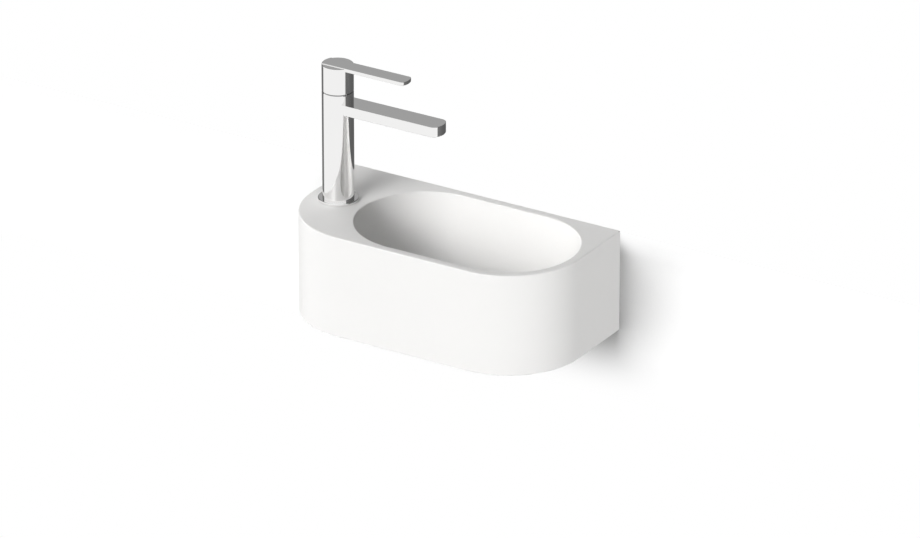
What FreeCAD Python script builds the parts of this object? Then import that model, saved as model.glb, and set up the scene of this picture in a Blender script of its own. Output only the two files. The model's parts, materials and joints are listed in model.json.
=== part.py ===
import FreeCAD, Part
import math
import os

# Wall-hung hand basin with a quarter-turn lever tap and an open waste.
# All sizes are in millimetres and all angles in degrees.
# Frame: X runs along the wall to the right, Y runs into the wall, Z is up.
# The origin lies on the wall face, midway between the two wall fixing holes.

# Basin moulding
basin_width = 360.0
basin_depth = 186.0
basin_height = 125.0
corner_radius = 93.0
rim_width = 10.5
apron_wall = 9.5
deck_thickness = 12.0
top_edge_radius = 1.5
bottom_edge_radius = 1.0
rim_edge_radius = 1.6

# Bowl
tap_deck_length = 73.5
bowl_depth = 92.0
bowl_draft = 8.0
bowl_corner_radius = 42.0
bowl_floor_radius = 420.0
bowl_wall = 9.0

# Wall fixings
fixing_inset = 40.0
fixing_drop = 75.0
fixing_hole_radius = 6.0
fixing_pad_radius = 15.0
fixing_pad_thickness = 4.0

# Waste
waste_hole_clearance = 1.55
waste_seat_clearance = 1.0
waste_seat_depth = 3.0
waste_boss_margin = 3.0
waste_floor_thickness = 9.0
waste_flange_radius = 32.0
waste_flange_thickness = 2.6
waste_thread_radius = 20.95
waste_tail_wall = 3.45
waste_relief_depth = 1.3
waste_relief_length = 3.0
waste_outlet_length = 35.0
waste_spider_rib_width = 3.0
waste_spider_height = 7.0
waste_spider_sink = 1.5
waste_hub_radius = 6.0
waste_stud_radius = 4.0
waste_stud_length = 14.0
waste_cap_radius = 30.0
waste_cap_edge = 1.6
waste_cap_crown = 3.4
waste_cap_gap = 5.0
waste_seal_inset = 1.0
waste_upper_seal_thickness = 1.5
waste_lower_seal_thickness = 3.0
waste_washer_thickness = 1.5
waste_nut_wall = 4.05
waste_nut_height = 10.0
waste_nut_run_out = 1.5

# Tap column, spout and base flange
tap_offset = 0.9
tap_radius = 18.5
tap_height = 136.4
spout_drop = 10.45
spout_thickness = 12.5
spout_width = 27.6
spout_reach = 142.5
spout_tip_radius = 7.5
spout_edge_radius = 0.6
spout_channel_width = 15.0
spout_channel_height = 6.0
flange_overhang = 5.5
flange_height = 3.5
flange_recess = 1.0
flange_edge_radius = 1.2
flange_bore_clearance = 0.6
base_seal_land = 1.9
base_seal_reach = 2.0
base_seal_thickness = 1.5
tap_hole_radius = 17.5
column_edge_chamfer = 0.5

# Tail and its fastening under the deck
tail_radius = 11.0
tail_bore_radius = 5.5
tail_socket_depth = 12.0
tail_seal_thickness = 1.5
tail_drop = 42.0
inlet_radius = 8.33
inlet_length = 18.0
centring_flange_overlap = 4.5
centring_flange_thickness = 2.0
centring_hub_height = 8.0
centring_hub_clearance = 0.3
clamp_washer_thickness = 2.0
back_nut_wall = 4.0
back_nut_height = 8.0

# Aerator
aerator_setback = 15.0
aerator_radius = 9.2
aerator_wall = 1.7
aerator_height = 6.4
aerator_seal_thickness = 1.6
aerator_seal_width = 2.4
aerator_insert_height = 4.6
aerator_insert_sink = 0.7
aerator_jet_radius = 0.95
aerator_jet_margin = 0.7
aerator_jet_rings = 2

# Ceramic headwork
valve_seat_depth = 33.4
valve_thread_step = 1.7
valve_thread_length = 12.4
valve_neck_wall = 1.3
valve_housing_radius = 7.5
valve_shoulder_height = 1.8
valve_hex_flats = 17.0
valve_hex_height = 4.2
valve_collar_radius = 6.5
valve_collar_height = 3.6
valve_window_width = 8.0
valve_window_height = 4.5
seat_seal_thickness = 2.0
seat_seal_lip = 1.9
disc_clearance = 0.1
disc_thickness = 3.0
disc_port_inner_radius = 1.8
disc_port_outer_radius = 6.0
disc_port_angle = 84.0
headwork_seal_width = 1.7
headwork_seal_thickness = 1.6
spindle_radius = 4.5
spindle_head_clearance = 0.5
spindle_head_height = 4.0
spindle_key_width = 3.0
spindle_key_depth = 1.2
spindle_ring_height = 2.2
spindle_ring_depth = 1.4
spindle_ring_drop = 4.0
spindle_clip_thickness = 0.9
spindle_clip_radius = 6.2
spindle_clip_depth = 0.8
spindle_clip_play = 0.15
spline_radius = 4.0
spline_tooth_depth = 0.45
spline_teeth = 20
spline_length = 10.0

# Lever handle
handle_gap = 1.2
handle_height = 31.7
handle_wall = 2.2
handle_roof = 6.0
handle_edge_radius = 1.0
handle_boss_radius = 7.5
handle_boss_gap = 1.6
lever_width = 20.0
lever_reach = 95.9
lever_thickness = 4.3
lever_step = 1.4
lever_tip_radius = 4.0
lever_edge_radius = 0.5
grub_radius = 2.5
grub_length = 5.0
grub_socket_flats = 2.5
grub_socket_depth = 2.5
plug_radius = 2.7
plug_length = 2.0
plug_sink = 0.3

# Guide ring in the gap between column and handle
guide_flange_clearance = 0.3
guide_flange_inset = 0.8
guide_height = 4.6
guide_bore_clearance = 0.25

# Clearances, the length by which a cut runs past a face, and how near an edge lies to its height
thread_clearance = 0.05
running_clearance = 0.08
seat_clearance = 0.05
overrun = 2.0
level_tolerance = 0.001

# Places worked out from the sizes above
deck_z = fixing_drop
base_z = deck_z - basin_height
axis_y = -basin_depth / 2
bowl_half_width = basin_depth / 2 - rim_width
bowl_right = basin_width / 2 - rim_width
bowl_left = tap_deck_length - basin_width / 2
bowl_right_centre = bowl_right - bowl_half_width
bowl_left_centre = bowl_left + bowl_half_width
waste_x = (bowl_left + bowl_right) / 2
tap_x = (bowl_left - basin_width / 2) / 2 + tap_offset
floor_z = deck_z - bowl_depth
fixing_x = basin_width / 2 - fixing_inset
waste_hole_radius = waste_thread_radius + waste_hole_clearance
waste_seat_radius = waste_flange_radius + waste_seat_clearance
waste_boss_radius = waste_seat_radius + waste_boss_margin
waste_bore_radius = waste_thread_radius - waste_tail_wall
waste_seal_radius = waste_flange_radius - waste_seal_inset
waste_nut_flats = 2 * (waste_thread_radius + waste_nut_wall)
flange_radius = tap_radius + flange_overhang
flange_bore_radius = tail_radius + flange_bore_clearance
base_seal_inner = flange_bore_radius + base_seal_land
base_seal_outer = tap_radius + base_seal_reach
centring_flange_radius = tap_hole_radius + centring_flange_overlap
back_nut_flats = 2 * (tail_radius + back_nut_wall)
spout_top = tap_height - spout_drop
valve_seat_height = tap_height - valve_seat_depth
valve_neck_radius = valve_housing_radius + valve_neck_wall
valve_thread_radius = valve_neck_radius + valve_thread_step
disc_radius = valve_housing_radius - disc_clearance
spindle_head_radius = valve_housing_radius - spindle_head_clearance
guide_flange_thickness = handle_gap - guide_flange_clearance
handle_base = tap_height + handle_gap
handle_top = handle_base + handle_height
handle_bore_radius = tap_radius - handle_wall
valve_bore_radius = valve_thread_radius + thread_clearance
valve_shoulder_radius = valve_bore_radius + headwork_seal_width
valve_shoulder_top = tap_height + valve_shoulder_height
valve_hex_top = valve_shoulder_top + valve_hex_height
valve_top = valve_hex_top + valve_collar_height
column_base = flange_height - flange_recess
socket_top = column_base + tail_socket_depth
spout_bottom = spout_top - spout_thickness
aerator_x = spout_reach - aerator_setback
disc_stack_base = valve_seat_height + seat_seal_thickness
moving_disc_base = disc_stack_base + disc_thickness + running_clearance
spindle_base = moving_disc_base + disc_thickness
spindle_shoulder = spindle_base + spindle_head_height
clip_base = valve_top + spindle_clip_play
spline_base = clip_base + spindle_clip_thickness + spindle_clip_play
spindle_top = spline_base + spline_length
handle_ceiling = handle_top - handle_roof
boss_base = spline_base + handle_boss_gap
grub_height = (boss_base + spindle_top) / 2
centring_base = -deck_thickness - centring_flange_thickness
clamp_base = centring_base - clamp_washer_thickness
nut_base = clamp_base - back_nut_height
waste_seal_top = -waste_seat_depth + waste_upper_seal_thickness
waste_flange_top = waste_seal_top + waste_flange_thickness
waste_underside = -waste_seat_depth - waste_floor_thickness
waste_washer_top = waste_underside - waste_lower_seal_thickness
waste_nut_top = waste_washer_top - waste_washer_thickness
waste_nut_base = waste_nut_top - waste_nut_height
waste_relief_top = waste_nut_base - waste_nut_run_out
waste_outlet_top = waste_relief_top - waste_relief_length
waste_tail_base = waste_outlet_top - waste_outlet_length
waste_hub_top = waste_flange_top - waste_spider_sink
waste_hub_base = waste_hub_top - waste_spider_height
waste_cap_base = waste_flange_top + waste_cap_gap

ORIGIN = FreeCAD.Vector(0, 0, 0)
RIGHT = FreeCAD.Vector(1, 0, 0)
BACK = FreeCAD.Vector(0, 1, 0)
UP = FreeCAD.Vector(0, 0, 1)
TAP_FOOT = FreeCAD.Vector(tap_x, axis_y, deck_z)
WASTE_FOOT = FreeCAD.Vector(waste_x, axis_y, floor_z)


def disc(radius, low, high):
    """Upright cylinder on the Z axis between two heights."""
    return Part.makeCylinder(radius, high - low, FreeCAD.Vector(0, 0, low))


def ring(outer, inner, low, high):
    """Upright ring on the Z axis between two heights."""
    return disc(outer, low, high).cut(disc(inner, low - overrun, high + overrun))


def slab(x_low, x_high, y_half, low, high):
    """Block from x_low to x_high, centred on Y, between two heights."""
    corner = FreeCAD.Vector(x_low, -y_half, low)
    return Part.makeBox(x_high - x_low, 2 * y_half, high - low, corner)


def turned(points):
    """Solid turned about Z from a closed outline of (radius, height) points."""
    corners = [FreeCAD.Vector(radius, 0, height) for radius, height in points]
    outline = Part.makePolygon(corners + corners[:1])
    return Part.Face(outline).revolve(ORIGIN, UP, 360)


def prism(points, low, high):
    """Upright prism over a closed outline of (x, y) points."""
    corners = [FreeCAD.Vector(x, y, low) for x, y in points]
    outline = Part.makePolygon(corners + corners[:1])
    return Part.Face(outline).extrude(UP * (high - low))


def hexagon(flats, low, high):
    """Upright hexagonal prism with the given size across its flats."""
    corner = flats / math.sqrt(3)
    angles = [math.radians(60 * k) for k in range(6)]
    return prism([(corner * math.cos(a), corner * math.sin(a)) for a in angles], low, high)


def chamfered_nut(flats, low, high):
    """Hexagonal prism whose corners are rounded off by a turned envelope, as on a real nut."""
    corner = flats / math.sqrt(3)
    drop = corner - flats / 2
    envelope = turned([
        (0, low),
        (flats / 2, low),
        (corner, low + drop / 2),
        (corner, high - drop / 2),
        (flats / 2, high),
        (0, high),
    ])
    return hexagon(flats, low, high).common(envelope)


def arc_between(start, centre, end):
    """Circular edge from start to end that bulges away from centre."""
    radius = (start - centre).Length
    middle = (start - centre) + (end - centre)
    return Part.Arc(start, centre + middle.normalize() * radius, end).toShape()


def tongue(reach, width, tip_radius, low, high):
    """Flat bar from the Z axis, centred on Y; its end is an arc of the column's radius with round corners."""
    half = width / 2
    centre = FreeCAD.Vector(reach - tap_radius, 0, low)
    shoulder = centre.x + math.sqrt(tap_radius**2 - half**2)
    near = FreeCAD.Vector(shoulder, -half, low)
    far = FreeCAD.Vector(shoulder, half, low)
    sides = Part.makePolygon([far, FreeCAD.Vector(0, half, low), FreeCAD.Vector(0, -half, low), near])
    outline = Part.Wire([arc_between(near, centre, far)] + sides.Edges)
    bar = Part.Face(outline).extrude(UP * (high - low))
    corners = []
    for edge in bar.Edges:
        box = edge.BoundBox
        if box.ZLength > (high - low) / 2 and box.XMin > reach / 2:
            corners.append(edge)
    return bar.makeFillet(tip_radius, corners)


def line_between(start, end):
    return Part.LineSegment(start, end).toShape()


def level_edges(shape, height):
    """Edges of a shape that lie wholly at one height."""
    found = []
    for edge in shape.Edges:
        box = edge.BoundBox
        if abs(box.ZMin - height) < level_tolerance and abs(box.ZMax - height) < level_tolerance:
            found.append(edge)
    return found


def at_tap(shape):
    """Moves a piece from the tap's own frame, with its foot on the deck, into place."""
    return shape.translated(TAP_FOOT)


def at_waste(shape):
    """Moves a piece from the waste's own frame, with its foot on the bowl floor, into place."""
    return shape.translated(WASTE_FOOT)


def basin_outline(inset, height):
    """Plan of the basin as a face: straight back and sides, two round front corners."""
    side = basin_width / 2 - inset
    front = inset - basin_depth
    radius = corner_radius - inset
    back_right = FreeCAD.Vector(side, -inset, height)
    side_right = FreeCAD.Vector(side, front + radius, height)
    front_right = FreeCAD.Vector(side - radius, front, height)
    front_left = FreeCAD.Vector(radius - side, front, height)
    side_left = FreeCAD.Vector(-side, front + radius, height)
    back_left = FreeCAD.Vector(-side, -inset, height)
    right_centre = FreeCAD.Vector(side - radius, front + radius, height)
    left_centre = FreeCAD.Vector(radius - side, front + radius, height)
    edges = [
        line_between(back_right, side_right),
        arc_between(side_right, right_centre, front_right),
        line_between(front_right, front_left),
        arc_between(front_left, left_centre, side_left),
        line_between(side_left, back_left),
        line_between(back_left, back_right),
    ]
    return Part.Face(Part.Wire(edges))


def bowl_section(offset, top):
    """Half section of the bowl as a face in the YZ plane, grown outwards by offset.

    A straight drafted wall, a round corner and a wide floor arc meet tangentially.
    Heights are counted from the deck, and the section is closed at the height top.
    """
    draft = math.radians(bowl_draft)
    across, down = math.cos(draft), math.sin(draft)
    floor_centre = FreeCAD.Vector(0, 0, bowl_floor_radius - bowl_depth)
    reach = bowl_half_width - bowl_corner_radius * across
    rise = bowl_corner_radius * down - floor_centre.z
    gap = bowl_floor_radius - bowl_corner_radius
    half_sum = reach * down + rise * across
    slide = half_sum + math.sqrt(half_sum ** 2 - reach ** 2 - rise ** 2 + gap ** 2)
    corner_centre = FreeCAD.Vector(0, reach - slide * down, bowl_corner_radius * down - slide * across)
    outward = FreeCAD.Vector(0, across, -down)
    inward_down = (corner_centre - floor_centre).normalize()
    wall_top = FreeCAD.Vector(0, bowl_half_width + offset / across + top * math.tan(draft), top)
    wall_foot = corner_centre + outward * (bowl_corner_radius + offset)
    floor_edge = floor_centre + inward_down * (bowl_floor_radius + offset)
    floor_middle = floor_centre - UP * (bowl_floor_radius + offset)
    axis_top = FreeCAD.Vector(0, 0, top)
    edges = [
        line_between(axis_top, wall_top),
        line_between(wall_top, wall_foot),
        arc_between(wall_foot, corner_centre, floor_edge),
        arc_between(floor_edge, floor_centre, floor_middle),
        line_between(floor_middle, axis_top),
    ]
    return Part.Face(Part.Wire(edges))


def bowl_solid(offset, top):
    """Round-ended trough: the bowl section turned at both ends and drawn out between them."""
    half = bowl_section(offset, top)
    run = RIGHT * (bowl_right_centre - bowl_left_centre)
    left_end = half.revolve(ORIGIN, UP, 180)
    right_end = half.revolve(ORIGIN, UP, -180).translated(run)
    rear_half = half.extrude(run)
    front_half = rear_half.mirror(ORIGIN, BACK)
    trough = left_end.multiFuse([right_end, rear_half, front_half]).removeSplitter()
    return trough.translated(FreeCAD.Vector(bowl_left_centre, axis_y, deck_z))


def wall_fixing(radius, length, x):
    """Cylinder that runs from the wall face into the basin at a wall fixing."""
    return Part.makeCylinder(radius, length, FreeCAD.Vector(x, overrun, 0), -BACK)


def basin():
    """Cast basin: apron, deck and bowl in one shell, open from below."""
    block = basin_outline(0, base_z).extrude(UP * basin_height)
    top_edges = [e for e in level_edges(block, deck_z) if e.BoundBox.YMin < -top_edge_radius]
    block = block.makeFillet(top_edge_radius, top_edges)
    foot_edges = [e for e in level_edges(block, base_z) if e.BoundBox.YMin < -bottom_edge_radius]
    block = block.makeFillet(bottom_edge_radius, foot_edges)
    hollow_height = basin_height - deck_thickness + overrun
    hollow = basin_outline(apron_wall, base_z - overrun).extrude(UP * hollow_height)
    boss = at_waste(disc(waste_boss_radius, waste_underside, 0))
    shell = block.cut(hollow).multiFuse([bowl_solid(bowl_wall, -deck_thickness / 2), boss])
    fixing_places = (-fixing_x, fixing_x)
    pad_length = apron_wall + fixing_pad_thickness + overrun
    pads = [wall_fixing(fixing_pad_radius, pad_length, x) for x in fixing_places]
    shell = shell.multiFuse([pad.common(block) for pad in pads])
    shell = shell.cut(bowl_solid(0, overrun))
    rim_edges = []
    for edge in level_edges(shell, deck_z):
        box = edge.BoundBox
        inside = box.XMin > bowl_left - overrun and box.XMax < bowl_right + overrun
        if inside and box.YMax < -rim_edge_radius and box.YMin > axis_y - bowl_half_width - overrun:
            rim_edges.append(edge)
    shell = shell.makeFillet(rim_edge_radius, rim_edges)
    holes = [wall_fixing(fixing_hole_radius, pad_length + overrun, x) for x in fixing_places]
    holes.append(at_waste(disc(waste_seat_radius, -waste_seat_depth, bowl_depth / 2)))
    holes.append(at_waste(disc(waste_hole_radius, waste_underside - overrun, 0)))
    holes.append(at_tap(disc(tap_hole_radius, -deck_thickness - overrun, overrun)))
    return shell.cut(holes[0].multiFuse(holes[1:]))


def waste_body():
    """Turned waste: flange, tail with a thread relief, and a three-armed spider with a hub."""
    relief_radius = waste_thread_radius - waste_relief_depth
    body = turned([
        (waste_bore_radius, waste_flange_top),
        (waste_flange_radius - waste_flange_thickness / 2, waste_flange_top),
        (waste_flange_radius, waste_flange_top - waste_flange_thickness / 2),
        (waste_flange_radius, waste_seal_top),
        (waste_thread_radius, waste_seal_top),
        (waste_thread_radius, waste_relief_top),
        (relief_radius, waste_relief_top),
        (relief_radius, waste_outlet_top),
        (waste_thread_radius, waste_outlet_top),
        (waste_thread_radius, waste_tail_base),
        (waste_bore_radius, waste_tail_base),
    ])
    wall_middle = (waste_bore_radius + relief_radius) / 2
    arm = slab(0, wall_middle, waste_spider_rib_width / 2, waste_hub_base, waste_hub_top)
    arms = [arm.rotated(ORIGIN, UP, 120 * k) for k in range(3)]
    body = body.multiFuse([disc(waste_hub_radius, waste_hub_base, waste_hub_top)] + arms)
    hole_radius = waste_stud_radius + thread_clearance
    stud_hole = disc(hole_radius, waste_hub_base - overrun, waste_hub_top + overrun)
    return at_waste(body.cut(stud_hole))


def waste_cap():
    """Low domed cap on a stem that stands on the spider's hub and takes the stud."""
    crown_top = waste_cap_base + waste_cap_edge + waste_cap_crown
    edge_top = FreeCAD.Vector(waste_cap_radius, 0, waste_cap_base + waste_cap_edge)
    crown = FreeCAD.Vector(0, 0, crown_top)
    rise = waste_cap_crown
    crown_radius = (waste_cap_radius ** 2 + rise ** 2) / (2 * rise)
    edges = [
        line_between(FreeCAD.Vector(0, 0, waste_hub_top), crown),
        arc_between(crown, crown - UP * crown_radius, edge_top),
        line_between(edge_top, FreeCAD.Vector(waste_cap_radius, 0, waste_cap_base)),
        line_between(
            FreeCAD.Vector(waste_cap_radius, 0, waste_cap_base),
            FreeCAD.Vector(waste_hub_radius, 0, waste_cap_base),
        ),
        line_between(
            FreeCAD.Vector(waste_hub_radius, 0, waste_cap_base),
            FreeCAD.Vector(waste_hub_radius, 0, waste_hub_top),
        ),
        line_between(
            FreeCAD.Vector(waste_hub_radius, 0, waste_hub_top),
            FreeCAD.Vector(0, 0, waste_hub_top),
        ),
    ]
    cap = Part.Face(Part.Wire(edges)).revolve(ORIGIN, UP, 360)
    socket = disc(
        waste_stud_radius + thread_clearance,
        waste_hub_top - overrun,
        waste_hub_base + waste_stud_length,
    )
    return at_waste(cap.cut(socket))


def waste_stud():
    return at_waste(disc(waste_stud_radius, waste_hub_base, waste_hub_base + waste_stud_length))


def waste_upper_seal():
    inner = waste_thread_radius + seat_clearance
    return at_waste(ring(waste_seal_radius, inner, -waste_seat_depth, waste_seal_top))


def waste_lower_seal():
    """Rubber ring under the bowl, thinner at its rim than at the thread."""
    inner = waste_thread_radius + seat_clearance
    lip = waste_lower_seal_thickness / 2
    return at_waste(turned([
        (inner, waste_underside),
        (waste_seal_radius, waste_underside),
        (waste_seal_radius, waste_underside - lip),
        (waste_seal_radius - lip, waste_washer_top),
        (inner, waste_washer_top),
    ]))


def waste_slip_washer():
    inner = waste_thread_radius + seat_clearance
    outer = waste_seal_radius - waste_lower_seal_thickness / 2
    return at_waste(ring(outer, inner, waste_nut_top, waste_washer_top))


def waste_lock_nut():
    """Hexagonal lock nut with its outer corners turned down at both faces."""
    nut = chamfered_nut(waste_nut_flats, waste_nut_base, waste_nut_top)
    bore = disc(waste_thread_radius + thread_clearance, waste_nut_base - overrun, waste_nut_top + overrun)
    return at_waste(nut.cut(bore))


def base_flange():
    """Low round flange with a recess for the column, a seal groove below and a rounded rim."""
    flange = disc(flange_radius, 0, flange_height)
    flange = flange.makeFillet(flange_edge_radius, level_edges(flange, flange_height))
    recess = disc(tap_radius + seat_clearance, column_base, flange_height + overrun)
    bore = disc(flange_bore_radius, -overrun, flange_height)
    groove = ring(base_seal_outer, base_seal_inner, -overrun, base_seal_thickness)
    return at_tap(flange.cut(recess.multiFuse([bore, groove])))


def base_seal():
    outer = base_seal_outer - seat_clearance
    inner = base_seal_inner + seat_clearance
    return at_tap(ring(outer, inner, 0, base_seal_thickness))


def spout_bar():
    """Flat spout from the column axis to its arched tip."""
    bar = tongue(spout_reach, spout_width, spout_tip_radius, spout_bottom, spout_top)
    rims = level_edges(bar, spout_top) + level_edges(bar, spout_bottom)
    return bar.makeFillet(spout_edge_radius, [e for e in rims if e.BoundBox.XMax > spout_edge_radius])


def tap_body():
    """Cast column and spout with the tail socket, the waterways and the valve bore."""
    column = disc(tap_radius, column_base, tap_height)
    column = column.makeChamfer(column_edge_chamfer, level_edges(column, tap_height))
    body = column.fuse(spout_bar())
    socket = disc(tail_radius + thread_clearance, column_base - overrun, socket_top)
    riser = disc(tail_bore_radius, column_base, valve_seat_height + overrun)
    valve_bore = disc(valve_bore_radius, valve_seat_height, tap_height + overrun)
    seal_seat = disc(valve_shoulder_radius, tap_height - headwork_seal_thickness, tap_height + overrun)
    channel_middle = (spout_bottom + spout_top) / 2
    channel = slab(
        0,
        aerator_x,
        spout_channel_width / 2,
        channel_middle - spout_channel_height / 2,
        channel_middle + spout_channel_height / 2,
    )
    mouth_top = spout_bottom + aerator_height + aerator_seal_thickness
    mouth = disc(aerator_radius + thread_clearance, spout_bottom - overrun, mouth_top)
    mouth.translate(RIGHT * aerator_x)
    return at_tap(body.cut(socket.multiFuse([riser, valve_bore, seal_seat, channel, mouth])))


def tap_tail():
    """Threaded shank with a narrower supply thread at its lower end."""
    top = socket_top - tail_seal_thickness
    shank = disc(tail_radius, -tail_drop, top)
    inlet = disc(inlet_radius, -tail_drop - inlet_length, -tail_drop)
    bore = disc(tail_bore_radius, -tail_drop - inlet_length - overrun, top + overrun)
    return at_tap(shank.fuse(inlet).cut(bore))


def tail_seal():
    return at_tap(ring(tail_radius, tail_bore_radius, socket_top - tail_seal_thickness, socket_top))


def centring_washer():
    """Top-hat washer that centres the tail in the tap hole from below."""
    hub_radius = tap_hole_radius - centring_hub_clearance
    hub = disc(hub_radius, -deck_thickness, centring_hub_height - deck_thickness)
    hat = disc(centring_flange_radius, centring_base, -deck_thickness).fuse(hub)
    bore = disc(tail_radius + seat_clearance, centring_base - overrun, overrun)
    return at_tap(hat.cut(bore))


def clamp_washer():
    return at_tap(ring(centring_flange_radius, tail_radius + seat_clearance, clamp_base, centring_base))


def back_nut():
    nut = chamfered_nut(back_nut_flats, nut_base, clamp_base)
    bore = disc(tail_radius + thread_clearance, nut_base - overrun, clamp_base + overrun)
    return at_tap(nut.cut(bore))


def aerator_housing():
    """Slim screw-in ring with four key slots in its lower edge."""
    inner = aerator_radius - aerator_wall
    housing = ring(aerator_radius, inner, spout_bottom, spout_bottom + aerator_height)
    slot_height = aerator_insert_sink
    slot = slab(-aerator_radius - overrun, aerator_radius + overrun, aerator_wall / 2,
                spout_bottom - overrun, spout_bottom + slot_height)
    slots = slot.fuse(slot.rotated(ORIGIN, UP, 90))
    return at_tap(housing.cut(slots).translated(RIGHT * aerator_x))


def aerator_insert():
    """Jet former: a thick disc with rings of small round jets."""
    low = spout_bottom + aerator_insert_sink
    radius = aerator_radius - aerator_wall - seat_clearance
    former = disc(radius, low, low + aerator_insert_height)
    jet = disc(aerator_jet_radius, low - overrun, low + aerator_insert_height + overrun)
    jet_pitch = (radius - aerator_jet_radius - aerator_jet_margin) / aerator_jet_rings
    jets = []
    for ring_number in range(1, aerator_jet_rings + 1):
        count = 6 * ring_number
        place = RIGHT * (jet_pitch * ring_number)
        jets += [jet.translated(place).rotated(ORIGIN, UP, 360 * k / count) for k in range(count)]
    return at_tap(former.cut(jet.multiFuse(jets)).translated(RIGHT * aerator_x))


def aerator_seal():
    low = spout_bottom + aerator_height
    seal = ring(aerator_radius, aerator_radius - aerator_seal_width, low, low + aerator_seal_thickness)
    return at_tap(seal.translated(RIGHT * aerator_x))


def headwork_body():
    """Brass headwork: neck with two water windows, thread, shoulder, hexagon and collar, bored through."""
    thread_base = tap_height - valve_thread_length
    neck_base = disc_stack_base
    neck = disc(valve_neck_radius, neck_base, thread_base)
    thread = disc(valve_thread_radius, thread_base, tap_height)
    shoulder = disc(valve_shoulder_radius, tap_height, valve_shoulder_top)
    crown = hexagon(valve_hex_flats, valve_shoulder_top, valve_hex_top)
    collar = disc(valve_collar_radius, valve_hex_top, valve_top)
    body = neck.multiFuse([thread, shoulder, crown, collar])
    housing = disc(valve_housing_radius, neck_base - overrun, spindle_shoulder + running_clearance)
    journal = disc(spindle_radius + running_clearance, neck_base, valve_top + overrun)
    window_base = moving_disc_base
    window = slab(-valve_neck_radius - overrun, valve_neck_radius + overrun, valve_window_width / 2,
                  window_base, window_base + valve_window_height)
    return at_tap(body.cut(housing.multiFuse([journal, window.rotated(ORIGIN, UP, 90)])))


def headwork_seal():
    low = tap_height - headwork_seal_thickness
    return at_tap(ring(valve_shoulder_radius, valve_bore_radius, low, tap_height))


def seat_seal():
    inner = tail_bore_radius + seat_clearance
    return at_tap(ring(inner + seat_seal_lip, inner, valve_seat_height, disc_stack_base))


def ported_disc(low):
    """Ceramic disc with two opposite sector ports."""
    high = low + disc_thickness
    port = Part.makeCylinder(
        disc_port_outer_radius,
        disc_thickness + 2 * overrun,
        FreeCAD.Vector(0, 0, low - overrun),
        UP,
        disc_port_angle,
    )
    port = port.cut(disc(disc_port_inner_radius, low - 2 * overrun, high + 2 * overrun))
    return disc(disc_radius, low, high).cut(port.fuse(port.rotated(ORIGIN, UP, 180)))


def fixed_disc():
    return at_tap(ported_disc(disc_stack_base))


def moving_disc():
    """Upper disc, a quarter turn from the lower one so that the ports are shut, with a key slot on top."""
    plate = ported_disc(moving_disc_base).rotated(ORIGIN, UP, 90)
    slot = slab(-disc_radius - overrun, disc_radius + overrun, spindle_key_width / 2,
                spindle_base - spindle_key_depth, spindle_base + overrun)
    return at_tap(plate.cut(slot))


def spline(clearance, low, high):
    """Toothed drive end with evenly spaced triangular teeth, grown outwards by a clearance."""
    points = []
    for k in range(2 * spline_teeth):
        angle = math.pi * k / spline_teeth
        radius = spline_radius + clearance - spline_tooth_depth * (k % 2)
        points.append((radius * math.cos(angle), radius * math.sin(angle)))
    return prism(points, low, high)


def spindle():
    """Stepped spindle: key and head on the moving disc, journal, ring groove, clip groove and spline."""
    head = disc(spindle_head_radius, spindle_base, spindle_shoulder)
    key = slab(-spindle_head_radius, spindle_head_radius, spindle_key_width / 2 - seat_clearance,
               spindle_base - spindle_key_depth + seat_clearance, spindle_shoulder)
    key = key.common(disc(spindle_head_radius, spindle_base - spindle_key_depth, spindle_shoulder))
    journal = disc(spindle_radius, spindle_shoulder, spline_base)
    ring_top = tap_height - spindle_ring_drop
    ring_groove = ring(spindle_radius + overrun, spindle_radius - spindle_ring_depth,
                       ring_top - spindle_ring_height, ring_top)
    clip_groove = ring(spindle_radius + overrun, spindle_radius - spindle_clip_depth,
                       clip_base, clip_base + spindle_clip_thickness)
    shaft = head.multiFuse([key, journal, spline(0, spline_base, spindle_top)])
    return at_tap(shaft.cut(ring_groove.fuse(clip_groove)))


def spindle_ring():
    ring_top = tap_height - spindle_ring_drop
    inner = spindle_radius - spindle_ring_depth
    return at_tap(ring(spindle_radius, inner, ring_top - spindle_ring_height, ring_top))


def spindle_clip():
    """Split spring clip in the spindle's upper groove."""
    inner = spindle_radius - spindle_clip_depth
    clip = ring(spindle_clip_radius, inner, clip_base, clip_base + spindle_clip_thickness)
    mouth = slab(0, spindle_clip_radius + overrun, inner / 2, clip_base - overrun, clip_base + overrun)
    return at_tap(clip.cut(mouth))


def guide_ring():
    """Dark glide ring on top of the column: a thin flange in the gap and a sleeve inside the handle."""
    sleeve_radius = handle_bore_radius - running_clearance
    flange = disc(tap_radius - guide_flange_inset, tap_height, tap_height + guide_flange_thickness)
    sleeve = disc(sleeve_radius, tap_height, tap_height + guide_height)
    bore_radius = valve_shoulder_radius + guide_bore_clearance
    bore = disc(bore_radius, tap_height - overrun, tap_height + guide_height + overrun)
    return at_tap(flange.fuse(sleeve).cut(bore))


def lever_plate():
    """Flat lever: a straight strip from the cap's rear edge to its arched tip."""
    top = handle_top + lever_step
    low = top - lever_thickness
    strip = tongue(lever_reach, lever_width, lever_tip_radius, low, top)
    rear = disc(tap_radius, low, top).common(slab(-tap_radius, overrun, lever_width / 2, low, top))
    plate = strip.fuse(rear).removeSplitter()
    rims = level_edges(plate, top) + level_edges(plate, low)
    return plate.makeFillet(lever_edge_radius, rims)


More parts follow.
